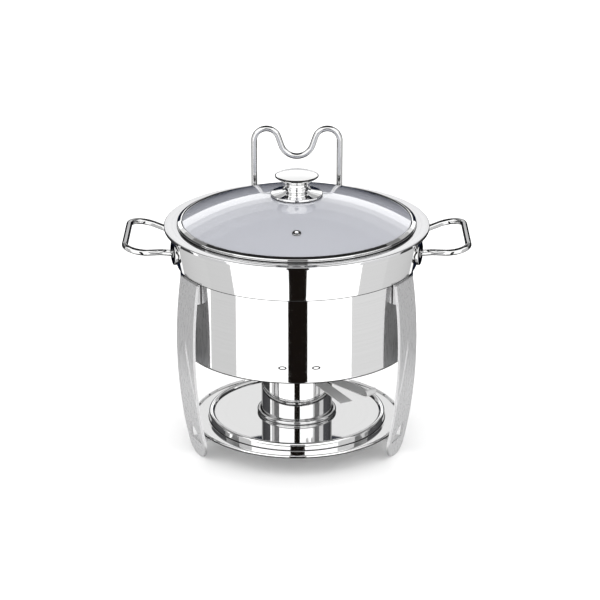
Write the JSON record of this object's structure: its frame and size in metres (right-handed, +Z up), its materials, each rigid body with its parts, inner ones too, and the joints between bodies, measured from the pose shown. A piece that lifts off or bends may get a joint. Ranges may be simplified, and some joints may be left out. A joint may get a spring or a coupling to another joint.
{
  "type": "soup kettle",
  "caption": "Round water-bath soup kettle on curved legs with a spirit burner beneath, a glass lid with knob, side wire handles and a wire lid rest at the back.",
  "frame": {"origin": "on the floor, under the kettle's vertical axis, which is the middle of its footprint box", "axes": "+Z up, +X to the right seen from the front (through both side handles, the longest extent), -Y to the front and +Y to the lid rest"},
  "size_m": [0.4014, 0.3105, 0.341],
  "materials": {
    "polished_steel": "mirror-polished stainless steel",
    "wire_steel": "polished stainless steel wire and welded fittings",
    "satin_steel": "satin stainless steel",
    "pan_steel": "polished rim, satin inside",
    "burner_steel": "polished stainless steel",
    "strip_steel": "brushed stainless steel strip",
    "lid_glass": "clear tempered glass",
    "gasket_rubber": "black silicone"
  },
  "bodies": {
    "frame": {"collar": "polished_steel", "leg_left": "satin_steel", "leg_right": "satin_steel", "leg_rear": "satin_steel", "leg_bracket_left": "satin_steel", "leg_bracket_right": "satin_steel", "leg_bracket_rear": "satin_steel", "base_plate": "polished_steel", "burner_ring": "wire_steel", "handle_left": "wire_steel", "handle_right": "wire_steel", "handle_plates_left": "wire_steel", "handle_plates_right": "wire_steel", "rest_socket_left": "wire_steel", "rest_socket_right": "wire_steel"},
    "lid_rest": {"lid_rest": "wire_steel"},
    "water_pan": {"water_pan": "polished_steel"},
    "food_pan": {"food_pan": "pan_steel"},
    "lid": {"lid_glass": "lid_glass", "lid_band": "polished_steel", "vent_eyelet": "polished_steel", "knob_gasket": "gasket_rubber", "knob_skirt": "polished_steel", "knob_ring": "polished_steel", "knob_cap": "polished_steel", "knob_screw": "burner_steel", "knob_washer": "burner_steel"},
    "burner": {"burner_shell": "burner_steel", "fuel_cup": "burner_steel"},
    "burner_cover": {"burner_cover": "burner_steel", "carry_strip": "strip_steel"},
    "damper": {"damper_disc": "burner_steel", "damper_lever": "strip_steel"}
  },
  "joints": [
    {"name": "water_pan_lift", "type": "slide", "parent": "frame", "child": "water_pan", "axis": [0, 0, 1], "range_m": [0, 0.028]},
    {"name": "food_pan_lift", "type": "slide", "parent": "water_pan", "child": "food_pan", "axis": [0, 0, 1], "range_m": [0, 0.028]},
    {"name": "lid_lift", "type": "slide", "parent": "food_pan", "child": "lid", "axis": [0, 0, 1], "range_m": [0, 0.06]},
    {"name": "lid_rest_lift", "type": "slide", "parent": "frame", "child": "lid_rest", "axis": [0, 0, 1], "range_m": [0, 0.03]},
    {"name": "burner_lift", "type": "slide", "parent": "frame", "child": "burner", "axis": [0, 0, 1], "range_m": [0, 0.008]},
    {"name": "burner_cover_lift", "type": "slide", "parent": "burner", "child": "burner_cover", "axis": [0, 0, 1], "range_m": [0, 0.012]},
    {"name": "damper_turn", "type": "hinge", "parent": "burner_cover", "child": "damper", "pos_m": [0, 0, 0.0877], "axis": [0, 0, 1], "range_deg": [-10, 60]}
  ]
}
